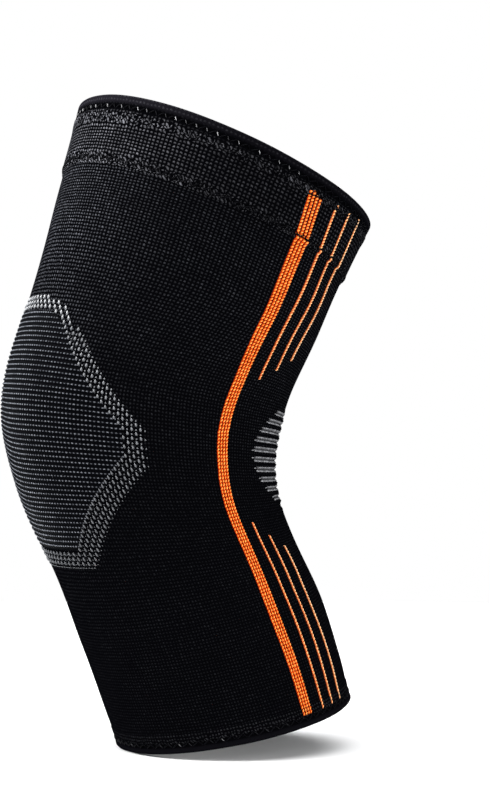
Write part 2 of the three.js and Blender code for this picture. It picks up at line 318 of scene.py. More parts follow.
class Shader:
    """A node material with a Principled shader, and short ways to add nodes to it."""

    def __init__(self, name, roughness, sheen=0.0, specular=0.5):
        self.material = bpy.data.materials.new(name)
        self.material.use_nodes = True
        self.nodes = self.material.node_tree.nodes
        self.links = self.material.node_tree.links
        self.principled = self.nodes["Principled BSDF"]
        self.principled.inputs["Roughness"].default_value = roughness
        self.principled.inputs["Sheen Weight"].default_value = sheen
        self.principled.inputs["Sheen Roughness"].default_value = 0.4
        self.principled.inputs["Sheen Tint"].default_value = (0.75, 0.82, 1.0, 1.0)
        self.principled.inputs["Specular IOR Level"].default_value = specular

    def link(self, value, socket):
        if isinstance(value, bpy.types.NodeSocket):
            self.links.new(value, socket)
        else:
            socket.default_value = value

    def math(self, operation, a, b=0.0):
        node = self.nodes.new("ShaderNodeMath")
        node.operation = operation
        for value, socket in zip((a, b), node.inputs):
            self.link(value, socket)
        return node.outputs[0]

    def add(self, a, b):
        return self.math("ADD", a, b)

    def sub(self, a, b):
        return self.math("SUBTRACT", a, b)

    def mul(self, a, b):
        return self.math("MULTIPLY", a, b)

    def from_middle(self, x):
        """The place in a cell, from -0.5 to 0.5."""
        return self.sub(self.math("FRACT", x), 0.5)

    def uv(self):
        node = self.nodes.new("ShaderNodeUVMap")
        node.uv_map = "stitches"
        split = self.nodes.new("ShaderNodeSeparateXYZ")
        self.links.new(node.outputs["UV"], split.inputs[0])
        return split.outputs[0], split.outputs[1]

    def attribute(self, name):
        node = self.nodes.new("ShaderNodeAttribute")
        node.attribute_name = name
        return node.outputs["Fac"]

    def cell_tone(self, u, v):
        """A value from 0 to 1 that is the same all over one loop."""
        join = self.nodes.new("ShaderNodeCombineXYZ")
        self.link(self.math("FLOOR", u), join.inputs[0])
        self.link(self.math("FLOOR", v), join.inputs[1])
        noise = self.nodes.new("ShaderNodeTexWhiteNoise")
        noise.noise_dimensions = "2D"
        self.links.new(join.outputs[0], noise.inputs["Vector"])
        return noise.outputs["Value"]

    def noise(self, scale, detail=3.0, roughness=0.6):
        where = self.nodes.new("ShaderNodeTexCoord")
        node = self.nodes.new("ShaderNodeTexNoise")
        node.inputs["Scale"].default_value = scale
        node.inputs["Detail"].default_value = detail
        node.inputs["Roughness"].default_value = roughness
        self.links.new(where.outputs["Object"], node.inputs["Vector"])
        return node.outputs["Fac"]

    def ramp(self, value, stops):
        node = self.nodes.new("ShaderNodeValToRGB")
        elements = node.color_ramp.elements
        while len(elements) < len(stops):
            elements.new(0.5)
        for element, (place, colour) in zip(elements, stops):
            element.position = place
            element.color = (*colour, 1)
        self.link(value, node.inputs[0])
        return node.outputs[0]

    def mix(self, share, first, second):
        node = self.nodes.new("ShaderNodeMix")
        node.data_type = "RGBA"
        self.link(share, node.inputs["Factor"])
        self.link(first, node.inputs["A"])
        self.link(second, node.inputs["B"])
        return node.outputs["Result"]

    def bump(self, height, distance, strength=1.0, below=None):
        node = self.nodes.new("ShaderNodeBump")
        node.inputs["Strength"].default_value = strength
        node.inputs["Distance"].default_value = distance * MM
        self.link(height, node.inputs["Height"])
        if below is not None:
            self.links.new(below, node.inputs["Normal"])
        return node.outputs[0]

    def finish(self, colour, normal):
        self.links.new(colour, self.principled.inputs["Base Color"])
        self.links.new(normal, self.principled.inputs["Normal"])
        return self.material

    def dome(self, x, half):
        """1 in the middle of x = 0, falling in a round curve to 0 at half on both sides."""
        share = self.math("DIVIDE", x, half)
        return self.math("MAXIMUM", self.sub(1.0, self.mul(share, share)), 0.0)

    def arch_loops(self, u, v):
        """The height of the ground's loop heads, a small arch in each cell, and each one's tone."""
        x = self.from_middle(u)
        climb = self.add(v, self.mul(self.mul(x, x), 1.1))
        across = self.dome(x, 0.33)
        along = self.dome(self.from_middle(climb), 0.3)
        return self.mul(across, along), self.cell_tone(u, climb)

    def slanted_loops(self, u, v, slant):
        """The height of slanted loops, one in each cell."""
        x = self.from_middle(u)
        climb = self.add(v, self.mul(x, slant))
        loops = self.mul(self.dome(x, 0.5), self.dome(self.from_middle(climb), 0.52))
        return self.math("SQRT", loops)


BLACK = (0.0012, 0.0012, 0.0017)
# The lip's own purple-black; the cuff mixes more of it in at the front as painted light.
LIP_COLOUR = (0.02, 0.0185, 0.0245, 1)


def knit_material(name, dark, light):
    """Black elastic knit with painted highlights: its loop heads are painted lighter than the black between
    them, with small random changes of tone and painted glints on a few loops. A vertex attribute sets how
    strong the painted highlights are on each piece, larger where the key light falls. The loops are smooth
    where plain is 1, and out of line, with stronger painted highlights, where busy is."""
    shader = Shader(name, roughness=0.6, specular=0.0)
    u, v = shader.uv()
    plain, busy = shader.attribute("plain"), shader.attribute("busy")
    stir = shader.mul(shader.sub(shader.noise(420.0, 1.0), 0.5), shader.add(busy, 0.15))
    stirred_u, stirred_v = shader.add(u, shader.mul(stir, 3.0)), shader.sub(v, shader.mul(stir, 4.0))
    # Painted highlight: the loop heads are painted lighter than the black between them, and a few loops get
    # painted glints.
    heads, tone = shader.arch_loops(stirred_u, stirred_v)
    heads = shader.mul(heads, shader.sub(1.0, plain))
    patches = shader.noise(70.0)
    glint = shader.math("POWER", tone, 10.0)
    bright = shader.add(0.53, shader.add(shader.mul(tone, 0.5), shader.mul(glint, 0.6)))
    lift = shader.mul(shader.mul(heads, bright), shader.add(0.5, patches))
    lift = shader.mul(lift, shader.add(1.0, shader.mul(busy, 0.7)))
    # Painted light: the painted highlights are scaled by a per-piece light gain, larger where the key light
    # falls.
    lift = shader.mul(lift, shader.attribute("painted_light_gain"))
    colour = shader.mix(shader.attribute("lip"), shader.ramp(lift, [(0.0, dark), (1.0, light)]), LIP_COLOUR)
    fibres = shader.bump(shader.noise(2600.0, 2.0), 0.05, 0.3)
    return shader.finish(colour, shader.bump(heads, 0.3, 0.9, fibres))


def orange_material():
    """Orange yarn on slanted loops, with painted yellow highlights on their crowns, painted red shade between
    them, and painted shade in the gaps between separate cords. The attribute pale is 1 on the finest lines,
    apart is 1 where the columns are separate cords, and crossed where black thread lies over them."""
    shader = Shader("orange_yarn", roughness=0.6, sheen=0.0, specular=0.05)
    u, v = shader.uv()
    loops = shader.slanted_loops(u, v, -0.6)
    tone = shader.mul(shader.cell_tone(shader.mul(u, 2.0), shader.mul(v, 2.0)), 0.3)
    value = shader.sub(shader.add(shader.mul(loops, loops), 0.12), tone)
    side = shader.math("ABSOLUTE", shader.from_middle(u))
    # Painted shade in the gaps between separate cords.
    beside = shader.math("MAXIMUM", shader.sub(side, 0.3), 0.0)
    painted_gap_shade = shader.mul(beside, shader.mul(shader.attribute("apart"), 6.0))
    value = shader.add(shader.sub(value, painted_gap_shade), shader.mul(shader.attribute("pale"), 0.3))
    # Painted light: each ramp runs from painted red shade through the yarn's orange to a painted yellow
    # highlight; the finest lines use the paler ramp.
    painted_red_shade, middle = (0.07, 0.002, 0.0003), (0.62, 0.045, 0.002)
    stops = [(0.0, painted_red_shade), (0.33, middle), (0.66, (0.92, 0.145, 0.007)), (1.0, (1.0, 0.47, 0.11))]
    soft = [(0.0, (0.3, 0.05, 0.015)), (0.5, (0.9, 0.29, 0.08)), (1.0, (1.0, 0.66, 0.38))]
    colour = shader.mix(shader.attribute("pale"), shader.ramp(value, stops), shader.ramp(value, soft))
    colour = shader.mix(shader.attribute("crossed"), colour, (*BLACK, 1))
    fibres = shader.bump(shader.noise(3000.0, 2.0), 0.04, 0.3)
    return shader.finish(colour, shader.bump(loops, 0.3, 0.6, fibres))


def field_material():
    """The patella field: a row of light grey loops on each rib, black knit between. A vertex attribute paints
    the loops lighter towards the front as painted highlight.
    """
    shader = Shader("patella_rib_yarn", roughness=0.6, sheen=0.0, specular=0.01)
    u, v = shader.uv()
    x, y = shader.from_middle(u), shader.from_middle(v)
    dots = shader.mul(shader.dome(x, 0.36), shader.dome(y, 0.2))
    line = shader.mul(shader.dome(y, 0.14), 0.12)
    tone = shader.add(0.6, shader.mul(shader.cell_tone(u, v), 0.5))
    value = shader.mul(shader.mul(shader.add(dots, line), tone), shader.attribute("painted_light_gain"))
    stops = [(0.0, (0.0012, 0.0013, 0.002)), (0.22, (0.013, 0.014, 0.018)), (1.0, (0.3, 0.315, 0.35))]
    return shader.finish(shader.ramp(value, stops), shader.bump(dots, 0.3, 0.8))


def yarn_material(name, dark, light, plies=3.0):
    """Soft yarn on real loops: fine plies along it, with a painted highlight where the attribute lit is 1, at
    its top.
    """
    shader = Shader(name, roughness=0.45, sheen=0.0, specular=0.12)
    u, v = shader.uv()
    twist = shader.add(shader.mul(u, plies), shader.mul(v, 2.0))
    strands = shader.dome(shader.from_middle(twist), 0.5)
    lit = shader.mul(shader.attribute("lit"), 0.6)
    value = shader.add(shader.mul(strands, shader.add(0.15, lit)), shader.mul(shader.noise(900.0), 0.15))
    colour = shader.ramp(value, [(0.0, dark), (0.62, light), (1.0, (0.8, 0.81, 0.83))])
    return shader.finish(colour, shader.bump(strands, 0.12, 0.6))


def bar_material():
    """Two rows of grey loops: light edges, a darker line between the rows, and streaks."""
    shader = Shader("bar_yarn", roughness=0.6, sheen=0.0, specular=0.03)
    u, v = shader.uv()
    row = shader.dome(shader.from_middle(v), 0.5)
    edge = shader.dome(shader.sub(shader.math("ABSOLUTE", shader.sub(v, 1.0)), 0.72), 0.3)
    loops = shader.dome(shader.from_middle(shader.add(u, shader.mul(v, 0.4))), 0.5)
    tone = shader.cell_tone(shader.mul(u, 2.0), v)
    value = shader.add(shader.mul(row, shader.add(0.26, shader.mul(loops, 0.3))), shader.mul(edge, 0.3))
    value = shader.mul(value, shader.add(0.7, shader.mul(tone, 0.5)))
    stops = [(0.0, (0.006, 0.006, 0.007)), (0.45, (0.085, 0.086, 0.092)), (1.0, (0.38, 0.385, 0.4))]
    return shader.finish(shader.ramp(value, stops), shader.bump(shader.mul(row, loops), 0.25, 0.8))


def thread_material():
    """Glossy black thread with painted glints on its steep stitches, where the attribute glint is 1."""
    shader = Shader("sewing_thread", roughness=0.4, specular=0.02)
    u, v = shader.uv()
    strands = shader.dome(shader.from_middle(shader.add(shader.mul(u, 2.0), v)), 0.5)
    value = shader.mul(shader.attribute("glint"), shader.add(0.6, shader.mul(strands, 0.4)))
    stops = [(0.0, (0.002, 0.002, 0.003)), (0.3, (0.02, 0.02, 0.023)), (1.0, (0.7, 0.7, 0.72))]
    colour = shader.ramp(value, stops)
    return shader.finish(colour, shader.bump(strands, 0.08, 0.5))


def silicone_material():
    shader = Shader("silicone", roughness=0.32, specular=0.5)
    colour = shader.ramp(shader.noise(240.0), [(0.3, (0.1, 0.105, 0.11)), (0.7, (0.17, 0.18, 0.19))])
    shader.principled.inputs["Coat Weight"].default_value = 0.2
    return shader.finish(colour, shader.bump(shader.noise(700.0), 0.1, 0.4))


def band_material():
    """Woven elastic: fine cords across the band and rubber threads along it."""
    shader = Shader("woven_elastic", roughness=0.6, sheen=0.1, specular=0.2)
    u, v = shader.uv()
    weave = shader.mul(shader.dome(shader.from_middle(u), 0.5), shader.dome(shader.from_middle(v), 0.5))
    colour = shader.ramp(weave, [(0.0, (0.004, 0.004, 0.005)), (1.0, (0.03, 0.031, 0.036))])
    return shader.finish(colour, shader.bump(weave, 0.2, 0.8))


# The second colour of each knit is its painted highlight on the loop heads.
GROUND = knit_material("ground_knit", BLACK, (0.13, 0.135, 0.155))
CUFF = knit_material("cuff_knit", BLACK, (0.2, 0.202, 0.225))
ORANGE = orange_material()
RIB_YARN = field_material()
BORDER_YARN = yarn_material("border_yarn", (0.012, 0.013, 0.015), (0.3, 0.31, 0.33))
BAR_YARN = bar_material()
THREAD = thread_material()
SILICONE = silicone_material()
ELASTIC = band_material()

# ---- The ground knit, cuff, hem and band -------------------------------------------------------


def run(start, end, step):
    count = max(1, round(abs(end - start) / step))
    return np.linspace(start, end, count + 1)


def front_share(angle):
    return smooth((80 - np.abs(np.mod(angle + 180, 360) - 180)) / 75)


def thigh_front_painted_light(s, angle):
    """Painted light: how much stronger the ground's painted highlights are up the thigh and at its front,
    where the key light falls.
    """
    return smooth((s + 30) / 110) * (0.12 + 0.65 * front_share(angle) ** 2)


def make_sleeve():
    """The knit tube from the hem to the cuff, with its outer and inner face."""
    top, bottom = CUFF_BOTTOM + 5, HEM_TOP - 1.5
    outline = [(s, 0.0) for s in run(bottom, top, COURSE)]
    outline += [(s, -KNIT) for s in run(top, bottom, 4)]
    fold = lambda s, a, out: out + relief(s, a)
    # Painted light: the ground's painted highlights get stronger up the thigh and at its front.
    painted_light_values = {"painted_light_gain": lambda s, a: 0.06 + thigh_front_painted_light(s, a)}
    cloth = {"shape": fold, "shift": course_rise, "values": painted_light_values}
    piece = ring_piece("knit_sleeve", outline, AROUND, GROUND, **cloth)
    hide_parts("thigh_knit", "knee_knit_upper", "knee_knit_middle", "knee_knit_lower", "calf_knit")
    return piece


def row_shift(s, angle):
    """Carries the sag of the cuff's lower row to the cloth near it."""
    middle = CUFF_ROWS["cuff_stitch_row_bottom"]
    return (lower_row(angle) - middle) * (1 - smooth((s - middle - 2) / 14))


def make_cuff():
    """The doubled cuff: a plain folded lip, two rows that pull the cloth in, and a full middle."""
    lip, turn_s = UPPER_RIM, 0.9
    rows = list(CUFF_ROWS.values())
    edge = rows[1] - ROW_DROP

    def face(s):
        pinch = 0.7 * bump_at(s, rows[0], 0.9) + 0.45 * bump_at(s, rows[1], 1.2)
        ledge = 0.3 * smooth((rows[0] - 1.4 - s) / 0.8) * smooth((s - rows[0] + 8) / 5)
        return 0.75 + 0.25 * smooth((s - edge) / 4) + ledge - pinch

    outline = [(edge + 0.3, -0.9), (edge, -0.2), (edge + 0.05, 0.3), (edge + 0.35, 0.6)]
    outline += [(s, face(s)) for s in run(edge + 0.9, lip - turn_s, 0.5)]
    turn = CUFF_THICKNESS / 2 + 0.3
    middle = face(lip - turn_s) - turn
    arc = np.linspace(0.25, math.pi, 9)
    outline += [(lip - turn_s + turn_s * math.sin(a), middle + turn * math.cos(a)) for a in arc]
    outline += [(s, -CUFF_THICKNESS) for s in run(lip - 2.5, CUFF_BOTTOM + 3, 2.2)]

    def ripple(s, angle, out):
        wave = np.sin(np.radians(angle * ZIGZAGS))
        return out + relief(s, angle) + 0.12 * wave * (bump_at(s, rows[0], 2) + bump_at(s, rows[1], 2))

    def plainness(s, angle):
        folded = 0.35 * smooth((s - rows[0] - 1) / 1.5)
        return smooth((s - rows[0] + 2.4) / 1.0) * (1 - folded)

    values = {
        # Painted light: the cuff's painted highlights are stronger at the front, where the key light falls.
        "painted_light_gain": lambda s, a: 0.16 + 0.7 * front_share(a),
        "plain": plainness,
        # Painted light: the lip's lighter colour is mixed in more at the front, where the key light falls; a
        # small share all round is the lip's own tone.
        "lip": lambda s, a: smooth((s - rows[0] - 0.8) / 1.6) * (0.12 + 0.45 * front_share(a)),
        "busy": lambda s, a: 0.9 * bump_at(s, rows[0] - 4.4, 2.0) + 0.9 * bump_at(s, rows[1] - 0.3, 2.2),
    }
    cloth = {"course": CUFF_COURSE, "shape": ripple, "shift": row_shift, "values": values}
    piece = ring_piece("cuff_fabric", outline, AROUND * 2, CUFF, **cloth)
    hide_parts("upper_cuff")
    return piece


def make_hem():
    """The turned hem: the row pulls it in above a lip that flares a little."""
    lip, turn_s = LOWER_RIM, 1.2

    def face(s):
        flare = 0.5 * smooth((HEM_ROW - s) / 3)
        return 0.35 - 0.5 * bump_at(s, HEM_ROW, 1.1) + flare

    outline = [(s, -2.8) for s in run(HEM_TOP - 0.5, lip + 1.4, 2)]
    turn = (face(lip + turn_s) + 2.8) / 2
    middle = face(lip + turn_s) - turn
    arc = np.linspace(0.2, math.pi - 0.2, 8)
    outline += [(lip + turn_s - turn_s * math.sin(a), middle - turn * math.cos(a)) for a in arc]
    outline += [(s, face(s)) for s in run(lip + turn_s, HEM_TOP - 0.4, 0.5)]
    outline += [(HEM_TOP + 0.2, 0.1), (HEM_TOP + 0.3, -0.6)]

    def ripple(s, angle, out):
        wave = np.sin(np.radians(angle * HEM_ZIGZAGS))
        return out + relief(s, angle) + 0.1 * wave * bump_at(s, HEM_ROW, 1.5)

    values = {
        "painted_light_gain": lambda s, a: 0.1,
        "plain": lambda s, a: smooth((HEM_ROW + 1 - s) / 1.5),
        "lip": lambda s, a: 0.12 * smooth((HEM_ROW - 0.5 - s) / 1.5),
        "busy": lambda s, a: 0.4 * bump_at(s, HEM_ROW + 1, 1.5),
    }
    cloth = {"course": CUFF_COURSE, "shape": ripple, "values": values}
    piece = ring_piece("hem_fabric", outline, AROUND * 2, CUFF, **cloth)
    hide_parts("lower_hem")
    return piece


def make_band():
    """The woven elastic band inside the cuff."""
    outline = [(s, BAND_OUT) for s in run(BAND_FROM, BAND_TO, 1)]
    outline += [(s, BAND_OUT - 1) for s in run(BAND_TO, BAND_FROM, 1)]
    ribs = lambda s, a, out: out + 0.06 * np.sin(2 * np.pi * s / 1.5)
    piece = ring_piece("elastic_band", outline, AROUND, ELASTIC, wales=420, course=1.5, shape=ribs)
    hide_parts("upper_grip_band")
    return piece


def make_grip_strip(name, middle):
    """A wavy bead of silicone with a round face towards the leg."""
    around = AROUND * 2
    angle = np.arange(around) * 360 / around
    wave = middle + GRIP_WAVE * np.sin(np.radians(angle * GRIP_WAVES))
    turn = np.linspace(0, np.pi, 9)
    across, height = 1.6 * np.cos(turn), -0.95 * np.sin(turn) ** 0.7
    s = wave[None, :] + across[:, None]
    out = (BAND_OUT - 0.95) + height[:, None] + 0 * s
    quads, r, c = grid_faces(len(turn), around, wrap_rows=True, wrap_columns=True)
    uvs = np.stack([c / 2, r * 0.5], axis=-1)
    points = skin(s, angle[None, :] + 0 * s, out)
    piece = make_mesh(f"silicone_{name}", points.reshape(-1, 3), quads[:, ::-1], uvs[:, ::-1], SILICONE)
    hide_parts(name)
    return piece


# ---- Face yarns --------------------------------------------------------------------------------


def slanted_height(u, v, slant):
    """The height of slanted loops, as in the orange material."""
    x = u - np.floor(u) - 0.5
    climb = v + slant * x
    y = climb - np.floor(climb) - 0.5
    return np.sqrt(np.clip(1 - (x / 0.5) ** 2, 0, 1) * np.clip(1 - (y / 0.52) ** 2, 0, 1))


def wander(s):
    """The stripe's small turns, where the leg pulls it."""
    thigh = 0.4 * bump_at(s, 22, 9) - 0.8 * bump_at(s, 48, 13)
    return thigh - 0.9 * bump_at(s, -30, 14) + 0.65 * bump_at(s, -108, 18)


def lines_wander(s, behind):
    """How the thin lines close in on the stripe near their ends."""
    near_knee = np.where(s > 0, smooth((76 - s) / 26), smooth((s + 72) / 27))
    share = 1.1 + 0.07 * np.maximum(behind - 11, 0)
    return np.where(behind > 0, -share * near_knee, 0)


def stripe_angle(s):
    """The angle of the stripe's middle. In the cuff it comes back towards the front."""
    far = np.where(s > 0, STRIPE_ANGLE["thigh"], STRIPE_ANGLE["calf"])
    knee = STRIPE_ANGLE["knee"]
    angle = knee + (far - knee) * smooth(np.abs(s - STRIPE_FRONTMOST) / KNEE_ZONE)
    return angle + wander(s) - 2.2 * np.clip((s - CUFF_BOTTOM) / (UPPER_RIM - CUFF_BOTTOM), 0, 1)


def chain(name, start, end, behind, span, wales, side, lift, pale=0.0, cord=0.85, ends=(0.0,)):
    """A strip of slanted loops along the sleeve. Its edges turn down into the knit. cord is the height
    of the loops, and ends says how much each column stops short of the strip's end."""
    columns = 6 * wales + 3
    rows = 6 * max(1, round((end - start) / CUFF_COURSE)) + 1
    s = np.linspace(start, end, rows)[:, None]
    u = np.concatenate([[0], np.linspace(0, wales, columns - 2), [wales]])[None, :]
    v = s / CUFF_COURSE
    widen = 0.94 + 0.18 * smooth((s - 15) / 60)
    along = stripe_angle(s) + behind + lines_wander(s, behind)
    angle = side * (along + span * widen * (u / wales - 0.5))
    crown = slanted_height(np.clip(u, 0, wales - 1e-6), v + 0 * u, -0.6)
    out = relief(s, angle) + cuff_step(s, side * angle) + lift + 0.35 - cord + cord * crown
    short = np.take(ends, np.clip(np.floor(u), 0, len(ends) - 1).astype(int))
    near_end = smooth((end - short - s) / 0.5) * smooth((s - start) / 0.5)
    out = np.where(near_end < 1, -0.9 + (out + 0.9) * np.sqrt(near_end), out)
    out[:, [0, -1]] = -0.9
    stitch = s - STRIPE_TOP + 3.2 - 0.45 * u
    crossed = smooth((0.55 - np.abs(stitch)) / 0.3) * (wales > 1)
    uv = np.stack([u + 0 * v, v + 0 * u], axis=-1)
    s = s + 0 * u
    turn = slice(None, None, 1 if side > 0 else -1)
    grids = [grid[:, turn] for grid in (s, angle, out, uv)]
    values = {"pale": pale, "apart": 1.0 if start > CUFF_BOTTOM else 0.4, "crossed": crossed[:, turn]}
    return patch_piece(name, *grids, ORANGE, values=values)


def make_line(name, parts, nodes):
    """One orange line from its parts, which break where the cuff's lower row crosses it."""
    piece = join_pieces([chain(f"{name}_{i}", *part) for i, part in enumerate(parts)], name)
    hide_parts(*nodes)
    return piece


LINE_TOPS = [-2.4, 0.9, 2.0]  # where the upper lines end, from the stripe's top
LINE_FEET = [0, -1.1, -1.3]  # and at the knee, where the knit has stretched


def make_stripes(label, side):
    """The wide stripe and the six thin lines of one side."""
    low = HEM_ROW + 1

    def crossed(end, top, behind, span, wales, pale, ends=(0.0,)):
        joint = lower_row(stripe_angle(CUFF_BOTTOM) + behind)
        body = (end, joint - 0.1, behind, span, wales, side, 0.35, pale)
        in_cuff = (joint + 0.1, top, behind - 0.6, span * 1.02, wales, side, 0.45, pale, 1.0, ends)
        return [body, in_cuff]

    parts = crossed(low, STRIPE_TOP, 0, STRIPE_SPAN, STRIPE_WALES, 0, (0.4, 0.0, 1.2, 1.8))
    nodes = [f"side_stripe_{zone}_{label}" for zone in ("upper", "knee", "lower")]
    made = [make_line(f"orange_stripe_{label}", parts, nodes)]
    spans, pales = [LINE_SPAN * 0.94, LINE_SPAN * 0.82, LINE_SPAN * 0.64], [0.4, 0.6, 0.95]
    for i, (behind, end) in enumerate(UPPER_LINES):
        top, end = STRIPE_TOP + LINE_TOPS[i], end + LINE_FEET[i]
        parts = crossed(end, top, behind, spans[i], 1, pales[i])
        if i == 2:
            parts = [(end, top, behind, spans[i], 1, side, 0.4, pales[i])]
        if i == 0:
            parts.append((STRIPE_TOP - 1.7, STRIPE_TOP + 0.4, behind, spans[i] * 0.8, 1, side, 0.45, 0.5))
        name = f"orange_line_upper_{label}_{i + 1}"
        made.append(make_line(name, parts, [f"thin_line_upper_{label}_{i + 1}"]))
    for i, (behind, end) in enumerate(LOWER_LINES):
        parts = [(low, end, behind, spans[i], 1, side, 0.35, pales[i])]
        name = f"orange_line_lower_{label}_{i + 1}"
        made.append(make_line(name, parts, [f"thin_line_lower_{label}_{i + 1}"]))
    return made


def field_half(field, course, grow=0.0):
    """The half angle of a six-sided field on a course. Its slanted sides move by one loop on each rib."""
    slope = 360 / FIELD_WALES / RIB_PITCH
    cut = TOP_CORNER["cut"] * np.maximum(course - TOP_CORNER["course"], 0) ** 2
    upper = field["upper"] - slope * course - cut
    half = np.minimum(upper, field["lower"] + slope * course)
    return np.minimum(half, field["blunt"]) + arc_angle(grow, course)


def make_patella_field():
    """Fine ribs across the kneecap, each a row of grey loops."""
    bottom = BORDER["bottom"] - 3
    ribs = round((FIELD["top"] - bottom + 2) / RIB_PITCH)
    loops = 2 * math.ceil((FIELD["blunt"] + 3) * FIELD_WALES / 360)
    v = np.linspace(0, ribs, ribs * 6 + 1)[:, None]
    u = np.linspace(0, loops, loops * 4 + 1)[None, :]
    angle = (u - loops / 2) * 360 / FIELD_WALES + 0 * v
    row = bottom + (v - 0.5) * RIB_PITCH + 0 * u
    s = row + course_rise(row, angle)
    x, y = u - np.floor(u) - 0.5, v - np.floor(v) - 0.5
    rib = np.exp(-((y / 0.2) ** 2))
    dot = np.clip(1 - (x / 0.5) ** 2, 0, 1) * np.clip(1 - (y / 0.3) ** 2, 0, 1)
    out = 0.12 + 0.3 * rib + 0.35 * dot + relief(s, angle)
    low_end = level(row) > FIELD["bottom"] - 1
    inside = low_end & (s < FIELD["top"] + 1 - 1.2 * (angle / FIELD["top_half"]) ** 2)
    keep = inside & (np.abs(angle) <= field_half(FIELD, row, 1.2))
    uv = np.stack([u + 0 * v, v + 0 * u], axis=-1)
    # Painted highlight: the grey loops are painted lighter towards the front, where the key light falls.
    values = {"painted_light_gain": 0.6 + 0.62 * smooth((28 - np.abs(angle)) / 34)}
    piece = patch_piece("patella_ribs", s, angle, out, uv, RIB_YARN, keep, values)
    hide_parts("patella_field")
    return piece


BEAD_ROWS, BEAD_SIDES = 9, 8


def bead(s, angle, length, width, lean, lift):
    """A raised loop like a leaf, wider at its foot: a grid of s, angle and height."""
    along = np.linspace(-1, 1, BEAD_ROWS)[:, None]
    turn = np.linspace(-0.15, 1.15, BEAD_SIDES)[None, :] * np.pi
    taper = np.sqrt(np.clip(1 - (along * 0.985) ** 2, 0, 1)) * (1 - 0.4 * along)
    across = -np.cos(turn) * taper * width / 2
    up = np.sin(turn) * taper * lift - 0.12
    along_mm = along * length / 2 + 0 * turn
    c, n = math.cos(lean), math.sin(lean)
    ds = along_mm * c - across * n
    da = arc_angle(along_mm * n + across * c, s)
    return s + course_rise(s, angle) + ds, angle + da, up


def merge_beads(name, beads, material, base, shine=lambda s: 1.0):
    """Many beads as one mesh. shine(s) sets how strong the painted highlight on their tips is."""
    rows, columns = BEAD_ROWS, BEAD_SIDES
    quads, r, c = grid_faces(rows, columns)
    points, faces, uvs = [], [], []
    tip = np.repeat(np.linspace(0, 1, rows), columns)
    lit = np.concatenate([tip * shine(float(np.mean(s))) for s, _, _ in beads])
    for i, (s, angle, out) in enumerate(beads):
        points.append(skin(s, angle, out + base + relief(s, angle)).reshape(-1, 3))
        faces.append(quads + i * rows * columns)
        uvs.append(np.stack([c / (columns - 1) + i, r / (rows - 1) + 0.37 * i], axis=-1))
    merged = [np.concatenate(part) for part in (points, faces, uvs)]
    return make_mesh(name, *merged, material, {"lit": lit})


def border_loop(course, angle, low, high):
    """A large bead, longer below the side corner (low) and at the top end (high), and a small one
    beside it, except at the top end."""
    side = 1 if angle > 0 else -1
    lean = -(0.24 + 0.1 * low + 0.35 * high) * side
    length = BEAD["length"] + 0.35 * low + 0.7 * high
    width = BEAD["width"] - 0.14 * low - 0.18 * high
    loops = [bead(np.array(course), np.array(angle), length, width, lean, BEAD["height"])]
    if not high:
        size = SMALL_BEAD["size"] - 0.15 * low
        beside = angle + side * 360 / FIELD_WALES
        place = (np.array(course - SMALL_BEAD["drop"]), np.array(beside))
        loops.append(bead(*place, size, size, 0, SMALL_BEAD["height"]))
    return loops


def border_row(row):
    """The loops of one row of the border: a large one on every other loop column and small ones between."""
    course = BORDER["bottom"] - FIRST_BEADS + row * RIB_PITCH
    slope = np.clip((BORDER["corner"] - course) / 20, -1, 1)
    low = float(smooth(slope * 1.5))
    field_side, outer = [float(field_half(field, np.array(course))) for field in (FIELD, BORDER)]
    beads = []
    for column in range(-26, 27):
        angle = (2 * column + (row + 1) % 2) * 360 / FIELD_WALES
        s = course + float(course_rise(course, angle))
        arch = (angle / BORDER["top_half"]) ** 2
        in_border = BORDER["bottom"] < level(course) and s < BORDER["top"] + 1.3 - 2 * arch
        beside_field = FIELD["bottom"] - 0.8 < level(course) and s < FIELD["top"] + 1.2 - 1.2 * arch
        inner = field_side if beside_field else -1
        if in_border and inner < abs(angle) < outer:
            beads += border_loop(course, angle, low, float(smooth((s - 34) / 5)))
    return beads


def border_edge():
    """The thin light line of loops that closes the border's lower end."""
    course = BORDER["bottom"] - float(course_rise(BORDER["bottom"], 20.0)) + 0.5
    half = BORDER["bottom_half"]
    angles = np.linspace(-half, half, 2 * round(half * FIELD_WALES / 360) + 1)
    return [bead(np.array(course), np.array(angle), 0.3, 1.3, 0, 0.3) for angle in angles]


def make_patella_border():
    """Raised loops in staggered rows between the two six-sided outlines."""
    rows = math.floor((BORDER["top"] - BORDER["bottom"] + 3) / RIB_PITCH) + 1
    beads = [loop for row in range(rows) for loop in border_row(row)] + border_edge()
    # Painted light: the beads' tips get stronger painted highlights up the thigh and much stronger ones on
    # the top band, where the key light falls.
    shine = lambda s: 0.52 + 0.6 * smooth((s + 30) / 45) + 1.6 * smooth((s - 34) / 7)
    piece = merge_beads("patella_border_loops", beads, BORDER_YARN, 0.15, shine)
    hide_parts("patella_border")
    return piece


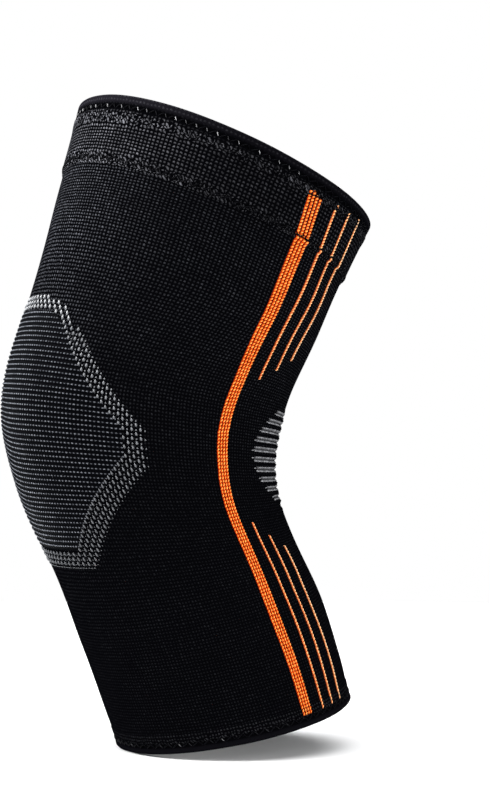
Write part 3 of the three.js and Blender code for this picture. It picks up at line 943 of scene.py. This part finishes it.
def make_bar(index):
    """One ventilation bar behind the knee: two rows of grey loops with a loose stitch at both ends."""
    middle = BARS["top"] - index * BARS["pitch"]
    start = BARS["mid_angle"] + BARS["spread"] * (middle - BARS["middle"]) ** 2
    loops = 2 * round((180 - start) * WALES / 360)
    u = np.linspace(0, loops, loops * 6 + 1)[None, :]
    v = np.linspace(0, 2, 15)[:, None]
    fray = 0.5 * np.sin(v * 9.0 + index) * (bump_at(u, 0, 1.2) - bump_at(u, loops, 1.2))
    angle = start + (360 - 2 * start) * u / loops + fray
    course = middle + BAR_RISE + (v / 2 - 0.5) * BARS["height"] * 1.15 + 0.1 * np.sin(2 * np.pi * u) * (v - 1)
    s = course + course_rise(course, angle)
    row = np.sqrt(np.clip(np.sin(np.pi * (v % 1)), 0, 1))
    out = relief(course, angle) + 0.1 + 0.35 * row * (0.75 + 0.25 * np.cos(2 * np.pi * (u + 0.4 * v)))
    out[[0, -1], :] = -1.2
    out[:, [0, -1]] = -1.2
    uv = np.stack([u + 0 * v, v + 0 * u], axis=-1)
    name = f"ventilation_bar_{index + 1:02d}"
    cloth = patch_piece(f"{name}_cloth", s, angle, out, uv, BAR_YARN)
    foot = middle + BAR_RISE + 0.25 * BARS["height"] * (-1 if index < 5 else 1)
    tails = [bead(np.array(foot), np.array(a), 0.7, 1.5, 0, 0.4) for a in (start - 1.1, 361.1 - start)]
    piece = join_pieces([cloth, merge_beads(f"{name}_tails", tails, BAR_YARN, 0.1)], name)
    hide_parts(f"popliteal_bar_{index + 1:02d}")
    return piece


# ---- Sewing thread -----------------------------------------------------------------------------


def make_thread(name, row, base, zigzags, shine):
    """A zigzag of sewing thread along row(angle): a long stitch that climbs gently and a steep one that comes
    down. Each arches over the cloth and the stripes, and dips in at both ends. shine sets how strong the
    painted glints on the steep stitches are."""
    per_stitch, sides, radius, height = 12, 7, 0.3, 2.1
    gentle = 0.66
    count = zigzags * 2 * per_stitch
    t = np.arange(count) / per_stitch
    share = t - np.floor(t)
    steep = np.floor(t) % 2 > 0
    turn_share = np.where(steep, gentle + (1 - gentle) * share, gentle * share)
    angle = (np.floor(t / 2) + turn_share) * 360 / zigzags
    s = row(angle) + height * np.where(steep, 0.5 - share, share - 0.5)
    arch = np.clip(np.sin(np.pi * share), 0, 1) ** 0.6
    over_stripe = 0.55 * bump_at(np.minimum(angle, 360 - angle), stripe_angle(s), 4.5)
    out = base - 0.2 + 0.6 * arch + over_stripe + relief(s, angle)
    turn = np.arange(sides) * 2 * np.pi / sides
    ring_s = s[:, None] + radius * np.cos(turn)
    ring_out = out[:, None] + radius * np.sin(turn)
    points = skin(ring_s, angle[:, None] + 0 * ring_s, ring_out)
    quads, r, c = grid_faces(count, sides, wrap_rows=True, wrap_columns=True)
    uvs = np.stack([c / sides, r * 0.25], axis=-1)
    stitch = np.floor(t / 2)
    uneven = 0.62 + 0.38 * np.sin(stitch * 2.4) * np.sin(stitch * 0.7)
    middle = np.clip(1 - ((share - 0.5) / 0.42) ** 2, 0, 1)
    sparse = smooth((np.sin(stitch * 4.1) + np.sin(stitch * 1.3) + 0.5 + 2 * (shine - 0.4)) * 2)
    # Painted light: the glints fade out on the far side, away from the key light.
    fade = smooth((112 - np.minimum(angle, 360 - angle)) / 22)
    glint = shine * fade * np.where(steep, middle * uneven * sparse, 0.03 * arch) * (over_stripe < 0.1)
    values = {"glint": np.repeat(glint, sides)}
    piece = make_mesh(f"{name}_thread", points.reshape(-1, 3), quads, uvs, THREAD, values)
    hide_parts(name)
    return piece


# ---- Placing -----------------------------------------------------------------------------------


def bend_at_knee(piece):
    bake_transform(piece)


def ride_on(piece, body):
    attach(piece, body)


sleeve = make_sleeve()
bend_at_knee(sleeve)
cuff = make_cuff()
ride_on(cuff, "thigh")
hem = make_hem()
ride_on(hem, "calf")
band = make_band()
ride_on(band, "thigh")
for grip_name, grip_middle in zip(("grip_strip_lower", "grip_strip_upper"), GRIP_CENTRES):
    ride_on(make_grip_strip(grip_name, grip_middle), "thigh")
level_row = lambda a: CUFF_ROWS["cuff_stitch_row_top"] + 0 * a
top_row = make_thread("cuff_stitch_row_top", level_row, 0.3, ZIGZAGS, 1.0)
ride_on(top_row, "thigh")
bottom_row = make_thread("cuff_stitch_row_bottom", lower_row, 0.5, ZIGZAGS, 0.3)
ride_on(bottom_row, "thigh")
hem_row = make_thread("hem_stitch_row", lambda a: HEM_ROW + 0 * a, 0.0, HEM_ZIGZAGS, 0.5)
ride_on(hem_row, "calf")
for label, side in (("left", 1), ("right", -1)):
    for piece in make_stripes(label, side):
        bend_at_knee(piece)
bend_at_knee(make_patella_field())
bend_at_knee(make_patella_border())
for index in range(BARS["count"]):
    bend_at_knee(make_bar(index))

# ---- Floor, light and camera -------------------------------------------------------------------


def make_floor():
    """A round white floor at the sleeve's lower end."""
    radius, sides, floor_z = 850, 96, cad_box[0].z / MM
    turn = np.arange(sides) * 2 * np.pi / sides
    rings = [np.stack([r * np.cos(turn), r * np.sin(turn), floor_z + 0 * turn], axis=-1) for r in (1, radius)]
    shader = Shader("pale_floor", roughness=0.8, specular=0.1)
    colour = shader.ramp(shader.noise(3.0), [(0.4, (0.93, 0.93, 0.932)), (0.6, (0.95, 0.95, 0.952))])
    shader.links.new(colour, shader.principled.inputs["Base Color"])
    quads, _, _ = grid_faces(2, sides, wrap_columns=True)
    flat_uvs = np.zeros((len(quads), 4, 2))
    floor = make_mesh("floor", np.concatenate(rings), quads[:, ::-1], flat_uvs, shader.material)


def make_light(name, azimuth, elevation, distance, size, power, colour, spread=180, aim=(0, 0, 0)):
    """A square soft light that faces the sleeve. Azimuth 0 is in front of the knee, 90 to its left."""
    a, e = math.radians(azimuth), math.radians(elevation)
    direction = Vector((math.sin(a) * math.cos(e), -math.cos(a) * math.cos(e), math.sin(e)))
    light = bpy.data.lights.new(name, "AREA")
    light.size = size
    light.energy = power
    light.color = colour
    light.spread = math.radians(spread)
    lamp = bpy.data.objects.new(name, light)
    lamp.location = Vector(aim) + direction * distance
    lamp.rotation_mode = "QUATERNION"
    lamp.rotation_quaternion = direction.to_track_quat("Z", "Y")
    bpy.context.scene.collection.objects.link(lamp)


def make_world():
    """A white backdrop that gives only a little light itself, as the studio lights do the rest."""
    world = bpy.data.worlds.new("studio")
    world.use_nodes = True
    nodes, links = world.node_tree.nodes, world.node_tree.links
    fill = nodes["Background"]
    fill.inputs["Color"].default_value = (0.93, 0.96, 1.0, 1)
    fill.inputs["Strength"].default_value = 0.2
    backdrop = nodes.new("ShaderNodeBackground")
    backdrop.inputs["Color"].default_value = (1, 1, 1, 1)
    mix = nodes.new("ShaderNodeMixShader")
    links.new(nodes.new("ShaderNodeLightPath").outputs["Is Camera Ray"], mix.inputs[0])
    links.new(fill.outputs[0], mix.inputs[1])
    links.new(backdrop.outputs[0], mix.inputs[2])
    links.new(mix.outputs[0], nodes["World Output"].inputs["Surface"])
    bpy.context.scene.world = world


CAMERA_AZIMUTH = 66
CAMERA_DISTANCE = 1.0
LOOK_AT = Vector((0, 0.02, 0))
FRAME_HEIGHT = 0.3529  # the height of the view at that distance
CAMERA_SHIFT = (0.033, 0.0457)


def make_camera():
    data = bpy.data.cameras.new("camera")
    data.sensor_width = 36
    data.lens = 36 * CAMERA_DISTANCE / FRAME_HEIGHT
    data.shift_x, data.shift_y = CAMERA_SHIFT
    a = math.radians(CAMERA_AZIMUTH)
    back = Vector((math.sin(a), -math.cos(a), 0))
    camera = bpy.data.objects.new("camera", data)
    camera.location = LOOK_AT + back * CAMERA_DISTANCE
    camera.rotation_mode = "QUATERNION"
    camera.rotation_quaternion = (-back).to_track_quat("-Z", "Y")
    bpy.context.scene.collection.objects.link(camera)
    bpy.context.scene.camera = camera


make_floor()
make_world()
make_light("overhead_light", 0, 90, 1.5, 2.6, 62, (1.0, 1.0, 1.0))
make_light("key_light", -5, 42, 1.5, 0.6, 20, (1.0, 0.99, 0.97))
make_light("front_edge_light", -50, 15, 1.5, 0.6, 9, (0.85, 0.92, 1.0))
make_light("fill_light", 110, 15, 1.8, 1.2, 14, (1.0, 1.0, 1.0))
make_camera()
bpy.context.scene.view_settings.view_transform = "Standard"
